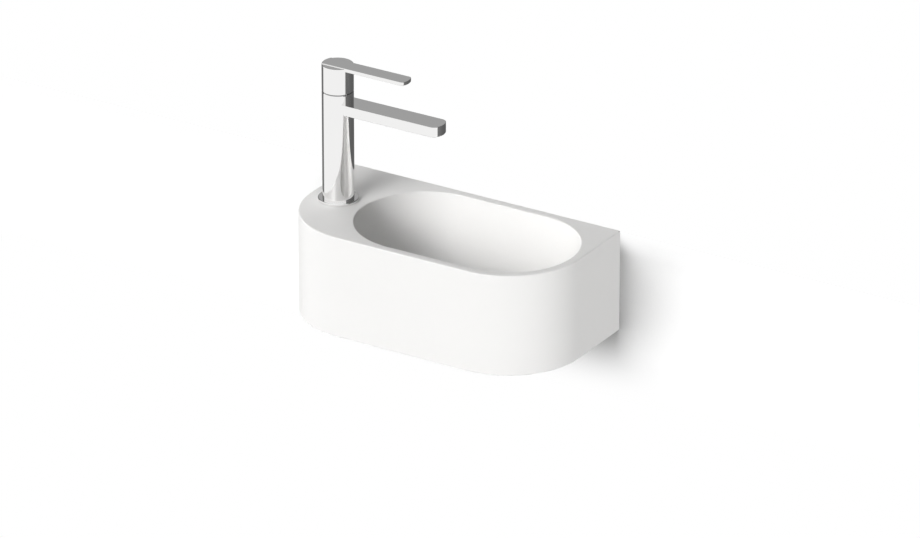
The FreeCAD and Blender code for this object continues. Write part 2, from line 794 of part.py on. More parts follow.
def lever_handle():
    """Hollow cap with a splined boss, the lever across its top and a radial screw hole at the rear."""
    cap = disc(tap_radius, handle_base, handle_top)
    cap = cap.makeFillet(handle_edge_radius, level_edges(cap, handle_top))
    cap = cap.makeChamfer(column_edge_chamfer, level_edges(cap, handle_base))
    handle = cap.fuse(lever_plate())
    hollow = ring(handle_bore_radius, handle_boss_radius, boss_base, handle_ceiling)
    below_boss = disc(handle_bore_radius, handle_base - overrun, boss_base)
    drive = spline(seat_clearance, boss_base - overrun, spindle_top + seat_clearance)
    screw_way = Part.makeCylinder(grub_radius + thread_clearance, tap_radius, ORIGIN, -RIGHT)
    key_way = Part.makeCylinder(
        plug_radius,
        tap_radius,
        -RIGHT * (handle_boss_radius + handle_wall),
        -RIGHT,
    )
    ways = screw_way.fuse(key_way).translated(UP * grub_height)
    return at_tap(handle.cut(hollow.multiFuse([below_boss, drive, ways])))


def handle_screw():
    """Grub screw that bears on the spline, with a hexagon socket in its outer end."""
    shank = disc(grub_radius, 0, grub_length)
    socket = hexagon(grub_socket_flats, grub_length - grub_socket_depth, grub_length + overrun)
    screw = shank.cut(socket).rotated(ORIGIN, BACK, -90)
    return at_tap(screw.translated(FreeCAD.Vector(-spline_radius, 0, grub_height)))


def screw_plug():
    """Small plug that closes the screw hole, just below the cap's surface."""
    plug = disc(plug_radius - seat_clearance, 0, plug_length).rotated(ORIGIN, BACK, -90)
    start = tap_radius - plug_sink - plug_length
    return at_tap(plug.translated(FreeCAD.Vector(-start, 0, grub_height)))


PIECES = [
    basin,
    waste_body,
    waste_cap,
    waste_stud,
    waste_upper_seal,
    waste_lower_seal,
    waste_slip_washer,
    waste_lock_nut,
    base_flange,
    base_seal,
    tap_body,
    tap_tail,
    tail_seal,
    centring_washer,
    clamp_washer,
    back_nut,
    aerator_housing,
    aerator_insert,
    aerator_seal,
    headwork_body,
    headwork_seal,
    seat_seal,
    fixed_disc,
    moving_disc,
    spindle,
    spindle_ring,
    spindle_clip,
    guide_ring,
    lever_handle,
    handle_screw,
    screw_plug,
]


def main():
    os.makedirs("parts", exist_ok=True)
    for piece in PIECES:
        shape = piece()
        shape.exportStep(os.path.join("parts", piece.__name__ + ".step"))
        print(piece.__name__, shape.isValid(), len(shape.Solids), round(shape.Volume, 2))


main()
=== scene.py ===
"""Dresses a wall-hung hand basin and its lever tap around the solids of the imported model."""

import json
import math
from contextlib import contextmanager

import bmesh
import bpy
from bpy.props import FloatProperty, FloatVectorProperty, PointerProperty
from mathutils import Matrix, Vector


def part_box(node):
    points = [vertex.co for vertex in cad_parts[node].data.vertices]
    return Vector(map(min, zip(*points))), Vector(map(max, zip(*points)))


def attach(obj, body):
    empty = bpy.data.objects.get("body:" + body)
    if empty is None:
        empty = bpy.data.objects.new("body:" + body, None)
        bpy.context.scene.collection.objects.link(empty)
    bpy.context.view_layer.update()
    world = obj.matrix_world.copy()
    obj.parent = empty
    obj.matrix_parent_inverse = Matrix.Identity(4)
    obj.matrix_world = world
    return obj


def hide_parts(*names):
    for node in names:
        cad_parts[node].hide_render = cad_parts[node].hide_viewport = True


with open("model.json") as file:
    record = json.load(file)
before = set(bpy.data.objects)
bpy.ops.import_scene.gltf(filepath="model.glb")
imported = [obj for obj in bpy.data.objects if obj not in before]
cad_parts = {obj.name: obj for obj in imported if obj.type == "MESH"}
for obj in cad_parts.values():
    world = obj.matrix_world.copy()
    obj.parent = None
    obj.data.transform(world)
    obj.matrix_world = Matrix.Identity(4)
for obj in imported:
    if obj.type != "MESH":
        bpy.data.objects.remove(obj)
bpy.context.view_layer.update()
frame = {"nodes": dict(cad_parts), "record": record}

bl_info = {
    "name": "Hand Basin",
    "version": (1, 0, 0),
    "blender": (4, 5, 0),
    "location": "View3D > Sidebar > Hand Basin",
    "description": "Models and finishes a wall-hung hand basin with a lever tap",
    "category": "Object",
}

BODY = "basin_and_tap"
LEVER = "lever"
BASIN_LOW, BASIN_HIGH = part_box("basin")
FLANGE_LOW, FLANGE_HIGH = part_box("base_flange")
COLUMN_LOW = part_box("tap_body")[0]
HANDLE_LOW, HANDLE_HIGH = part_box("lever_handle")
WASTE_LOW, WASTE_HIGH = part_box("waste_body")
DECK = BASIN_HIGH.z
BASIN_MIDDLE = (BASIN_LOW + BASIN_HIGH) / 2
TAP = (FLANGE_LOW + FLANGE_HIGH) / 2
WASTE = (WASTE_LOW + WASTE_HIGH) / 2

# Points closer than this become one, on any piece and on a thread
MERGE = 0.000001
THREAD_MERGE = 0.00001

# Upward parts of the normals of faces that look down or sideways
LOOKS_DOWN = -0.9
LOOKS_SIDEWAYS = 0.1

# Steps round a piece
TAP_STEPS = 192
BOWL_STEPS = 160
WASTE_STEPS = 128
ROUND_STEPS = 96
BORE_STEPS = 64
BAR_STEPS = 48

# Steps of the bowl's corner and floor, and the flat share of the floor
CORNER_STEPS = 18
FLOOR_STEPS = 11
FLOOR_FLAT = 0.0678

# Crest of a thread in pitches, and the turns cut off at each end
CREST_START = 0.4
CREST_END = 0.6
SPARE_TURNS = 2

# Arms of the waste's spider, and depth of the bend in its flange's bevel
ARMS = 3
FLANGE_BEND = 0.3


def length(name, description, millimetres):
    """A size that the panel shows as a length."""
    return FloatProperty(
        name=name, description=description, default=millimetres / 1000,
        min=0, unit="LENGTH", subtype="DISTANCE", precision=5,
    )


def angle(name, description, degrees):
    return FloatProperty(
        name=name, description=description, default=math.radians(degrees),
        unit="ROTATION", subtype="ANGLE",
    )


def share(name, description, value):
    return FloatProperty(name=name, description=description, default=value, min=0, subtype="FACTOR")


def colour(name, description, value):
    return FloatVectorProperty(
        name=name, description=description, default=value, size=3, min=0, max=1, subtype="COLOR",
    )


def soft_light(name, description, value):
    """A soft light: turn to the left of the front, rise and spread in degrees, then strength."""
    return FloatVectorProperty(name=name, description=description, default=value, size=4)


class BasinSizes(bpy.types.PropertyGroup):
    """Sizes of the cast basin."""

    corner_radius: length("Corner radius", "Radius of the two front corners", 93)
    rim_width: length("Rim width", "Width of the deck beside the bowl", 10.5)
    tap_deck: length("Tap deck", "Length of the deck that carries the tap", 73.5)
    deck_thickness: length("Deck thickness", "Thickness of the deck", 12)
    apron_wall: length("Apron wall", "Thickness of the apron", 9.5)
    bowl_depth: length("Bowl depth", "Depth of the bowl at its middle", 92)
    bowl_wall: length("Bowl wall", "Thickness of the bowl", 9)
    bowl_draft: angle("Bowl draft", "Slope of the bowl wall from upright", 8)
    bowl_corner: length("Bowl corner", "Radius between bowl wall and floor", 42)
    bowl_floor: length("Bowl floor", "Radius of the bowl floor across the basin", 420)
    top_edge: length("Top edge", "Radius of the outer top edge", 1.5)
    foot_edge: length("Foot edge", "Radius of the outer bottom edge", 1)
    rim_edge: length("Rim edge", "Radius of the bowl's rim", 1.6)
    tap_hole: length("Tap hole", "Radius of the tap hole", 17.5)
    waste_hole: length("Waste hole", "Radius of the waste hole", 22.5)
    waste_seat: length("Waste seat", "Radius of the sunk seat round the waste", 33)
    waste_seat_depth: length("Waste seat depth", "Depth of the sunk seat", 3)
    waste_boss: length("Waste boss", "Radius of the boss under the waste", 36)
    waste_floor: length("Waste floor", "Thickness of the floor under the waste seat", 9)
    fixing_spacing: length("Fixing spacing", "Distance between the wall fixings", 280)
    fixing_hole: length("Fixing hole", "Radius of a wall fixing hole", 6)
    fixing_pad: length("Fixing pad", "Radius of the pad inside the apron", 15)
    fixing_pad_height: length("Fixing pad height", "Height of the pad above the apron wall", 4)


class TapSizes(bpy.types.PropertyGroup):
    """Sizes of the tap, counted from the deck where they are heights."""

    radius: length("Radius", "Radius of column and cap", 18.5)
    column_edge: length("Column edge", "Bevel of column and cap at the gap", 0.5)
    spout_top: length("Spout top", "Height of the spout's upper face", 125.95)
    spout_thickness: length("Spout thickness", "Height of the spout", 12.5)
    spout_width: length("Spout width", "Width of the spout", 27.6)
    spout_reach: length("Spout reach", "Reach of the spout from the tap's axis", 142.5)
    spout_tip: length("Spout tip", "Radius of the spout's two end corners", 7.5)
    spout_edge: length("Spout edge", "Radius of the spout's long edges", 0.6)
    mouth_setback: length("Mouth setback", "Distance of the aerator from the spout's end", 15)
    mouth_radius: length("Mouth radius", "Radius of the aerator's hole", 9.25)
    flange_edge: length("Flange edge", "Radius of the base flange's rim", 1.2)
    cap_edge: length("Cap edge", "Radius of the cap's upper edge", 1)
    lever_width: length("Lever width", "Width of the lever", 20)
    lever_reach: length("Lever reach", "Reach of the lever from the tap's axis", 95.9)
    lever_thickness: length("Lever thickness", "Height of the lever", 4.3)
    lever_step: length("Lever step", "Height of the lever above the cap", 0.8)
    lever_tip: length("Lever tip", "Radius of the lever's two end corners", 4)
    lever_heel: length("Lever heel", "Radius of the lever's upper edge over the cap's rear", 1.4)
    lever_inset: length("Lever inset", "How far the lever's rear stands inside the cap's round", 0.02)
    lever_edge: length("Lever edge", "Radius of the lever's long edges", 0.5)
    cap_wall: length("Cap wall", "Wall of the hollow cap", 2.2)
    cap_roof: length("Cap roof", "Thickness of the cap over its hollow", 6.6)
    boss_radius: length("Boss radius", "Radius of the boss that takes the spindle", 7.5)
    boss_depth: length("Boss depth", "How far the boss reaches down from the spindle's top", 8.4)
    spline_radius: length("Spline radius", "Radius of the spindle's splined end", 4)
    valve_bore: length("Valve bore", "Radius of the bore that takes the valve", 10.55)
    riser_bore: length("Riser bore", "Radius of the waterway up to the valve", 5.5)
    flange_bore_gap: length("Flange bore gap", "Gap between the tail and the base flange", 0.6)
    seal_land: length("Seal land", "Width of the flange between its bore and the base seal", 1.9)
    fit_gap: length("Fit gap", "Gap round a piece that stands in another", 0.05)


class ThreadSizes(bpy.types.PropertyGroup):
    """Sizes of the screw threads under the basin."""

    waste_radius: length("Waste radius", "Radius of the waste's pipe thread", 20.95)
    waste_pitch: length("Waste pitch", "Pitch of the waste's pipe thread", 2.309)
    waste_depth: length("Waste thread depth", "Depth of the waste's pipe thread", 1.2)
    waste_wall: length("Waste wall", "Wall of the waste's tail, with its thread", 3.45)
    waste_flange: length("Waste flange", "Thickness of the waste's flange", 2.6)
    relief_depth: length("Relief depth", "Depth of the groove between the waste's two threads", 1.3)
    relief_length: length("Relief length", "Length of that groove", 3)
    outlet_length: length("Outlet length", "Length of the thread that takes the trap", 35)
    spider_width: length("Spider width", "Width of the three arms in the waste", 3)
    spider_height: length("Spider height", "Height of the three arms", 7)
    spider_sink: length("Spider sink", "Depth of the arms below the flange", 1.5)
    hub_radius: length("Hub radius", "Radius of the hub that the arms carry", 6)
    arm_root: length("Arm root", "How far an arm reaches into the wall of the tail", 1.5)
    stud_radius: length("Stud radius", "Radius of the stud's hole in the hub", 4.05)
    tail_pitch: length("Tail pitch", "Pitch of the tap's fixing thread", 1.5)
    tail_depth: length("Tail thread depth", "Depth of the tap's fixing thread", 0.85)
    inlet_pitch: length("Inlet pitch", "Pitch of the supply thread", 1.337)
    inlet_depth: length("Inlet thread depth", "Depth of the supply thread", 0.8)
    inlet_length: length("Inlet length", "Length of the supply thread", 18)
    inlet_radius: length("Inlet radius", "Radius of the supply thread", 8.33)
    tail_bore: length("Tail bore", "Radius of the bore through the tap's tail", 5.5)


class FinishColours(bpy.types.PropertyGroup):
    """Colours of the finishes."""

    solid_surface: colour("Solid surface", "Matt white cast basin", (0.86, 0.855, 0.845))
    chrome: colour("Chrome", "Polished plating", (0.88, 0.876, 0.872))
    # Painted shade: the guide ring's plating is darkened to stand in for the shade of the gap it sits in
    dark_chrome: colour("Dark chrome", "Darker plating of the ring in the gap", (0.30, 0.30, 0.30))
    brass: colour("Brass", "Machined brass", (0.72, 0.52, 0.24))
    steel: colour("Steel", "Plain stainless steel", (0.60, 0.60, 0.60))
    rubber: colour("Rubber", "Black rubber", (0.022, 0.022, 0.024))
    plastic: colour("Plastic", "White moulded plastic", (0.78, 0.78, 0.76))
    ceramic: colour("Ceramic", "Lapped ceramic", (0.86, 0.85, 0.81))


class StageSettings(bpy.types.PropertyGroup):
    """Camera, wall, floor and light."""

    camera_place: FloatVectorProperty(
        name="Camera place", description="Where the camera stands",
        default=(4.6371, -7.6181, 4.0805), size=3, unit="LENGTH", subtype="TRANSLATION",
    )
    camera_tilt: angle("Camera tilt", "Tilt of the camera from straight down", 65.328)
    camera_turn: angle("Camera turn", "Turn of the camera about the upright", 31.52)
    camera_lens: FloatProperty(
        name="Camera lens", description="Focal length on a 36 mm sensor", default=331.4, unit="CAMERA",
    )
    floor_drop: length("Floor drop", "Height of the basin's rim above the floor", 850)
    wall_white: share("Wall white", "Lightness of the wall", 0.94)
    # Painted shade: the wall's colour darkens to this tone beside the basin, by an ambient occlusion
    # node, on top of the real shadow it takes
    wall_corner: share("Wall shade tone", "Lightness of the wall in the corner beside the basin", 0.25)
    corner_reach: length("Shade reach", "How far from the basin the wall grows darker", 100)
    # Painted light: the wall glows plain white above the deck and below the basin, painting out the
    # shadows, such as the tap's, that fall there
    fade_above: length("White paint above", "Height over which the wall's shadow fades up to the deck", 32)
    fade_below: length("White paint below", "Height over which the wall's shadow fades below the basin", 90)
    floor_white: share("Floor white", "Lightness of the floor", 0.85)
    floor_lift: share("Floor lift", "Share of plain white in the floor", 0.6)
    key_light: soft_light("Key light", "Main light from the front left above", (20, 28, 16, 8.5))
    high_light: soft_light("High light", "Light from the front above", (3, 28, 16, 8.0))
    front_light: soft_light("Front light", "Light from the front", (1, 16, 16, 8.8))
    left_light: soft_light("Left light", "Low light from the front left", (36, -8, 22, 2.75))
    deck_light: soft_light("Deck light", "Light on the deck from the back left", (125, 44, 50, 1.55))
    right_fill: soft_light("Right fill", "Fill on the right side from below", (275, -14, 22, 6.5))
    back_fill: soft_light("Back fill", "Fill on the right side from the back below", (245, -14, 22, 4.3))
    left_fill: soft_light("Left fill", "Fill on the left side from below", (120, -50, 45, 2.32))
    room_side: share("Room side", "What the plating mirrors of the room's side", 0.185)
    room_dark: share("Room dark", "What the plating mirrors of the room behind the wall", 0.12)
    room_grey: share("Room grey", "What the level faces of the plating mirror", 0.385)


def sizes(group):
    return getattr(bpy.context.scene.hand_basin, group)


class HandBasin(bpy.types.PropertyGroup):
    """All settings of the hand basin."""

    basin: PointerProperty(type=BasinSizes)
    tap: PointerProperty(type=TapSizes)
    threads: PointerProperty(type=ThreadSizes)
    colours: PointerProperty(type=FinishColours)
    stage: PointerProperty(type=StageSettings)


# Modelling steps

def start_clean(piece=None):
    """Leaves edit mode and selects nothing, or only the piece."""
    if bpy.context.mode != "OBJECT":
        bpy.ops.object.mode_set(mode="OBJECT")
    bpy.ops.object.select_all(action="DESELECT")
    if piece:
        piece.select_set(True)
        bpy.context.view_layer.objects.active = piece


def settle(name):
    """Names the new piece and moves its place into its mesh."""
    piece = bpy.context.object
    piece.name = name
    piece.data.name = name
    start_clean(piece)
    bpy.ops.object.transform_apply(location=True, rotation=True, scale=True)
    return piece


@contextmanager
def editing(piece):
    start_clean(piece)
    bpy.ops.object.mode_set(mode="EDIT")
    yield
    bpy.ops.object.mode_set(mode="OBJECT")


def pick(kind, test):
    """Selects the vertices, edges or faces of the edited mesh that pass a test."""
    bpy.ops.mesh.select_mode(type={"verts": "VERT", "edges": "EDGE", "faces": "FACE"}[kind])
    bpy.ops.mesh.select_all(action="DESELECT")
    mesh = bpy.context.object.data
    shape = bmesh.from_edit_mesh(mesh)
    for item in getattr(shape, kind):
        if test(item):
            item.select_set(True)
    shape.select_flush_mode()
    bmesh.update_edit_mesh(mesh)


def pick_all():
    bpy.ops.mesh.select_all(action="SELECT")


def face_outward():
    """Turns all faces of the edited mesh outward."""
    pick_all()
    bpy.ops.mesh.normals_make_consistent(inside=False)


def draw_up(height):
    """Draws the selected part of the edited mesh up by a height, which may be negative."""
    bpy.ops.mesh.extrude_region_move(TRANSFORM_OT_translate={"value": (0, 0, height)})


def middle(edge):
    return (edge.verts[0].co + edge.verts[1].co) / 2


def near(value, other, within=0.00005):
    return abs(value - other) < within


def level_edge(edge, height):
    return all(near(vertex.co.z, height) for vertex in edge.verts)


def upright_edge(edge):
    first, second = (vertex.co for vertex in edge.verts)
    return near(first.x, second.x) and near(first.y, second.y) and not near(first.z, second.z)


def round_edges(radius, segments):
    bpy.ops.mesh.bevel(offset=radius, segments=segments, profile=0.5, affect="EDGES", clamp_overlap=True)


def block(name, low, high):
    """Box between two corners."""
    start_clean()
    low, high = Vector(low), Vector(high)
    bpy.ops.mesh.primitive_cube_add(size=1, location=(low + high) / 2, scale=high - low)
    return settle(name)


def turned(name, points, axis, steps=ROUND_STEPS, run=0.0):
    """Piece turned on an upright axis: a circle drawn out through (radius, height) points.

    The ends are joined if the outline encloses a bore, and closed by a face otherwise.
    A run parts the right half from the left and draws the form out between them.
    """
    start_clean()
    radius, height = points[0]
    bpy.ops.mesh.primitive_circle_add(
        vertices=steps, radius=radius, location=(axis.x, axis.y, height),
        rotation=(0, 0, math.pi / steps),
    )
    piece = bpy.context.object
    bored = points[0] == points[-1]
    rings = points[1:-1] if bored else points[1:]
    with editing(piece):
        pick_all()
        for next_radius, next_height in rings:
            draw_up(next_height - height)
            spread = next_radius / radius
            centre = (axis.x, axis.y, next_height)
            bpy.ops.transform.resize(value=(spread, spread, 1), center_override=centre)
            radius, height = next_radius, next_height
        pick("edges", lambda edge: edge.is_boundary)
        if bored:
            bpy.ops.mesh.bridge_edge_loops()
        else:
            bpy.ops.mesh.fill_holes(sides=0)
        if run:
            pick("verts", lambda vertex: vertex.co.x > 0)
            bpy.ops.transform.translate(value=(run, 0, 0))
        face_outward()
    return settle(name)


def threaded(name, radius, depth, pitch, low, high, axis, steps=64):
    """Rod with a screw thread: one tooth is drawn up in a helix and cut off square at both ends."""
    start_clean()
    root = radius - depth
    outline = [(root, 0), (radius, CREST_START * pitch), (radius, CREST_END * pitch), (root, pitch)]
    ends = {0, len(outline) - 1}
    bpy.ops.mesh.primitive_circle_add(
        vertices=len(outline), radius=radius, location=(axis.x, axis.y, 0),
    )
    rod = bpy.context.object
    start = low - SPARE_TURNS * pitch
    with editing(rod):
        pick("edges", lambda edge: {vertex.index for vertex in edge.verts} == ends)
        bpy.ops.mesh.delete(type="EDGE")
        for vertex, (reach, rise) in zip(bmesh.from_edit_mesh(rod.data).verts, outline):
            vertex.co = (reach, 0, start + rise)
    turns = math.ceil((high - low) / pitch) + 2 * SPARE_TURNS
    apply_step(rod, "SCREW", screw_offset=pitch, iterations=turns, steps=steps, render_steps=steps)
    with editing(rod):
        pick_all()
        bpy.ops.mesh.remove_doubles(threshold=THREAD_MERGE)
        bpy.ops.mesh.bisect(plane_co=(0, 0, low), plane_no=(0, 0, 1), use_fill=True, clear_inner=True)
        pick_all()
        bpy.ops.mesh.bisect(plane_co=(0, 0, high), plane_no=(0, 0, 1), use_fill=True, clear_outer=True)
        face_outward()
    return settle(name)


def apply_step(piece, kind, **settings):
    """Adds a modifier to the piece and applies it."""
    start_clean(piece)
    step = piece.modifiers.new(kind.title(), kind)
    for key, value in settings.items():
        setattr(step, key, value)
    bpy.ops.object.modifier_apply(modifier=step.name)


def merge_points(piece):
    """Merges points that nearly coincide, which the next boolean couldn't take."""
    with editing(piece):
        pick_all()
        bpy.ops.mesh.remove_doubles(threshold=MERGE)


def combine(piece, operation, tools):
    """Combines a piece with tools, and takes them away."""
    for tool in tools:
        apply_step(piece, "BOOLEAN", operation=operation, solver="EXACT", object=tool)
        merge_points(piece)
        mesh = tool.data
        bpy.data.objects.remove(tool)
        bpy.data.meshes.remove(mesh)


def join(piece, *tools):
    combine(piece, "UNION", tools)


def cut(piece, *tools):
    combine(piece, "DIFFERENCE", tools)


def shade(piece, limit=30):
    """Shades curved faces smooth and keeps flat faces flat."""
    merge_points(piece)
    start_clean(piece)
    bpy.ops.object.shade_smooth_by_angle(angle=math.radians(limit))
    apply_step(piece, "WEIGHTED_NORMAL", keep_sharp=True)


def true_round(piece, axis, radius, slack=0.0003, tilt=0.02):
    """Gives the faces on a round column the normals of a true cylinder, so that it mirrors cleanly."""
    mesh = piece.data
    normals = [corner.vector.copy() for corner in mesh.corner_normals]
    for face in mesh.polygons:
        places = [mesh.vertices[index].co for index in face.vertices]
        on_round = all(near(math.hypot(p.x - axis.x, p.y - axis.y), radius, slack) for p in places)
        if on_round and abs(face.normal.z) < tilt:
            for corner in face.loop_indices:
                place = mesh.vertices[mesh.loops[corner].vertex_index].co
                normals[corner] = Vector((place.x - axis.x, place.y - axis.y, 0)).normalized()
    mesh.normals_split_custom_set(normals)


def hand_over(piece, body, slot, *nodes):
    """Puts a finished piece in the place of its solids."""
    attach(piece, body)
    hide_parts(*nodes)
    piece.data.materials.clear()
    piece.data.materials.append(finish_of(slot))


# Finishes

class Value:
    """A socket that takes part in sums: each sum adds a Math node beside it."""

    def __init__(self, finish, socket):
        self.finish = finish
        self.socket = socket

    def sum(self, operation, first, second):
        return self.finish.add("Math", {"operation": operation}, {0: first, 1: second})

    def __add__(self, other):
        return self.sum("ADD", self, other)

    def __sub__(self, other):
        return self.sum("SUBTRACT", self, other)

    def __rsub__(self, other):
        return self.sum("SUBTRACT", other, self)

    def __mul__(self, other):
        return self.sum("MULTIPLY", self, other)

    __radd__ = __add__
    __rmul__ = __mul__


class Finish:
    """The nodes of one finish, or of the room."""

    def __init__(self, tree):
        self.tree = tree
        tree.nodes.clear()

    def add(self, kind, settings=None, sockets=None, output=0):
        """Adds a shader node, makes its settings, then fills its sockets with values or links."""
        node = self.tree.nodes.new("ShaderNode" + kind)
        for key, value in (settings or {}).items():
            setattr(node, key, value)
        for key, value in (sockets or {}).items():
            if isinstance(value, Value):
                self.tree.links.new(value.socket, node.inputs[key])
            else:
                node.inputs[key].default_value = value
        return Value(self, node.outputs[output] if node.outputs else None)

    def noise(self, scale, detail, stretch=(1, 1, 1)):
        """Noise over the piece, stretched for grain."""
        spot = self.add("TexCoord", output="Object")
        spot = self.add("Mapping", sockets={"Vector": spot, "Scale": stretch})
        return self.add("TexNoise", sockets={"Vector": spot, "Scale": scale, "Detail": detail})

    def between(self, amount, first, second):
        """A colour that goes from the first to the second, in sockets 6 and 7, with an amount."""
        return self.add(
            "Mix", {"data_type": "RGBA"},
            {"Factor": amount, 6: tuple(first) + (1,), 7: tuple(second) + (1,)}, output=2,
        )

    def fade(self, value, start, end, way="SMOOTHSTEP"):
        """Rises from 0 to 1 as a value goes from start to end."""
        sockets = {"Value": value, 1: start, 2: end}
        return self.add("MapRange", {"interpolation_type": way}, sockets)

    def along(self, spot, way):
        """How far a direction points along a way, from -1 to 1."""
        sockets = {0: spot, 1: way}
        return self.add("VectorMath", {"operation": "DOT_PRODUCT"}, sockets, output="Value")

    def relief(self, height, depth, strength):
        sockets = {"Height": height, "Distance": depth, "Strength": strength}
        return self.add("Bump", sockets=sockets)

    def shine(self, sockets):
        """The surface shader."""
        surface = self.add("BsdfPrincipled", sockets=sockets)
        self.add("OutputMaterial", sockets={"Surface": surface})


def darker(tone, amount):
    return tuple(part * amount for part in tone)


def solid_surface(finish, tone):
    """Cast mineral: very fine grain, faint clouds and a soft satin surface."""
    clouds = finish.noise(14, 4)
    grain = finish.noise(1800, 2)
    base = finish.between(clouds * 0.55 + grain * 0.45, darker(tone, 0.985), darker(tone, 1.015))
    finish.shine({
        "Base Color": base,
        "Roughness": 0.40 + 0.08 * clouds + 0.06 * grain,
        "IOR": 1.48,
        "Specular IOR Level": 0.35,
        "Normal": finish.relief(grain, 0.00004, 0.25),
    })


def chrome(finish, tone):
    """Polished plating with faint wiping marks."""
    marks = finish.noise(60, 5, (1, 1, 0.35))
    finish.shine({
        "Base Color": finish.between(marks, darker(tone, 0.985), tone),
        "Metallic": 1.0,
        "Roughness": 0.018 + 0.03 * marks,
    })


def brass(finish, tone):
    """Machined brass with turning marks and a little tarnish."""
    tarnish = finish.noise(70, 4)
    marks = finish.noise(5200, 2, (0.05, 0.05, 1))
    finish.shine({
        "Base Color": finish.between(tarnish, darker(tone, 0.78), tone),
        "Metallic": 1.0,
        "Roughness": 0.20 + 0.14 * marks + 0.12 * tarnish,
        "Normal": finish.relief(marks, 0.00004, 0.3),
    })


def steel(finish, tone):
    """Plain stainless steel with fine drawn marks."""
    marks = finish.noise(2600, 3, (1, 1, 0.04))
    finish.shine({
        "Base Color": finish.between(marks, darker(tone, 0.88), tone),
        "Metallic": 1.0,
        "Roughness": 0.26 + 0.16 * marks,
        "Normal": finish.relief(marks, 0.00003, 0.25),
    })


def rubber(finish, tone):
    """Matt rubber with a fine moulded skin."""
    skin = finish.noise(2400, 3)
    bloom = finish.noise(90, 3)
    finish.shine({
        "Base Color": finish.between(bloom, tone, darker(tone, 1.9)),
        "Roughness": 0.62 + 0.2 * skin,
        "Normal": finish.relief(skin, 0.00006, 0.35),
    })


def moulded(finish, tone):
    """Moulded plastic with a light spark-eroded grain."""
    grain = finish.noise(1600, 3)
    clouds = finish.noise(45, 3)
    finish.shine({
        "Base Color": finish.between(clouds, darker(tone, 0.95), tone),
        "Roughness": 0.36 + 0.16 * grain,
        "Normal": finish.relief(grain, 0.00005, 0.3),
    })


def ceramic(finish, tone):
    """Lapped ceramic: dense, faintly speckled and nearly polished."""
    specks = finish.noise(2200, 4)
    finish.shine({
        "Base Color": finish.between(specks, darker(tone, 0.94), tone),
        "Roughness": 0.14 + 0.1 * specks,
        "IOR": 1.7,
    })


FINISHES = {
    "solid_surface": solid_surface,
    "chrome": chrome,
    "dark_chrome": chrome,
    "brass": brass,
    "steel": steel,
    "rubber": rubber,
    "plastic": moulded,
    "ceramic": ceramic,
}


def finish_of(slot):
    """The material of a slot, made at its first use."""
    name = "finish_" + slot
    material = bpy.data.materials.get(name)
    if material is None:
        material = bpy.data.materials.new(name)
        material.use_nodes = True
        FINISHES[slot](Finish(material.node_tree), tuple(getattr(sizes("colours"), slot)))
    return material


# Pieces

def bowl_half_width(basin):
    return (BASIN_HIGH.y - BASIN_LOW.y) / 2 - basin.rim_width


def bowl_ends(basin):
    """Places along the wall of the middles of the bowl's two round ends."""
    half_width = bowl_half_width(basin)
    return BASIN_LOW.x + basin.tap_deck + half_width, BASIN_HIGH.x - basin.rim_width - half_width


def bowl_points(basin, offset, top):
    """Half section of the bowl as (radius, height): tangent wall, corner and floor arc."""
    half_width = bowl_half_width(basin)
    across, down = math.cos(basin.bowl_draft), math.sin(basin.bowl_draft)
    floor_height = basin.bowl_floor - basin.bowl_depth
    reach = half_width - basin.bowl_corner * across
    rise = basin.bowl_corner * down - floor_height
    gap = basin.bowl_floor - basin.bowl_corner
    half_sum = reach * down + rise * across
    slide = half_sum + math.sqrt(half_sum ** 2 - reach ** 2 - rise ** 2 + gap ** 2)
    corner = (reach - slide * down, basin.bowl_corner * down - slide * across)
    corner_end = math.atan2(corner[0], floor_height - corner[1])
    points = [(half_width + offset / across + top * math.tan(basin.bowl_draft), DECK + top)]
    radius = basin.bowl_corner + offset
    for turn in spaced(math.pi / 2 - basin.bowl_draft, corner_end, CORNER_STEPS):
        points.append((corner[0] + radius * math.sin(turn), DECK + corner[1] - radius * math.cos(turn)))
    radius = basin.bowl_floor + offset
    for turn in spaced(corner_end, corner_end * FLOOR_FLAT, FLOOR_STEPS)[1:]:
        points.append((radius * math.sin(turn), DECK + floor_height - radius * math.cos(turn)))
    return points


def bowl_tool(basin, offset, top):
    """Round-ended trough in the shape of the bowl."""
    left, right = bowl_ends(basin)
    axis = Vector((left, TAP.y, 0))
    return turned("bowl_tool", bowl_points(basin, offset, top), axis, BOWL_STEPS, run=right - left)


def post(radius, low, high, axis, steps=ROUND_STEPS):
    """Plain upright cylinder for joining or cutting."""
    return turned("post", [(radius, low), (radius, high)], axis, steps)


def bar(radius, start, end):
    """Plain cylinder between two points for joining or cutting."""
    start_clean()
    start, end = Vector(start), Vector(end)
    run = end - start
    bpy.ops.mesh.primitive_cylinder_add(
        vertices=BAR_STEPS, radius=radius, depth=run.length, location=(start + end) / 2,
        rotation=run.to_track_quat("Z", "Y").to_euler(),
    )
    return settle("bar")


def rounded_rim(radius, high, edge, steps):
    """Points of a rim's quarter round, from the side up to the top."""
    return [
        (radius - edge * (1 - math.cos(turn)), high - edge * (1 - math.sin(turn)))
        for turn in spaced(0, math.pi / 2, steps)
    ]


def spaced(start, end, steps):
    """Evenly spaced values from start to end."""
    return [start + (end - start) * step / steps for step in range(steps + 1)]


def tongue_points(radius, reach, width, tip, rear):
    """Plan of a flat bar that ends in an arc of the column's radius between two round corners."""
    centre = reach - radius
    side = width / 2 - tip
    corner = centre + math.sqrt((radius - tip) ** 2 - side ** 2)
    turn = math.atan2(side, corner - centre)
    near_corner = [
        (corner + tip * math.sin(step), -side - tip * math.cos(step))
        for step in spaced(0, math.pi / 2 - turn, steps=16)
    ]
    end = [
        (centre + radius * math.cos(step), radius * math.sin(step))
        for step in spaced(-turn, turn, steps=32)[1:-1]
    ]
    far_corner = [(along, -across) for along, across in reversed(near_corner)]
    return [(rear, -width / 2)] + near_corner + end + far_corner + [(rear, width / 2)]


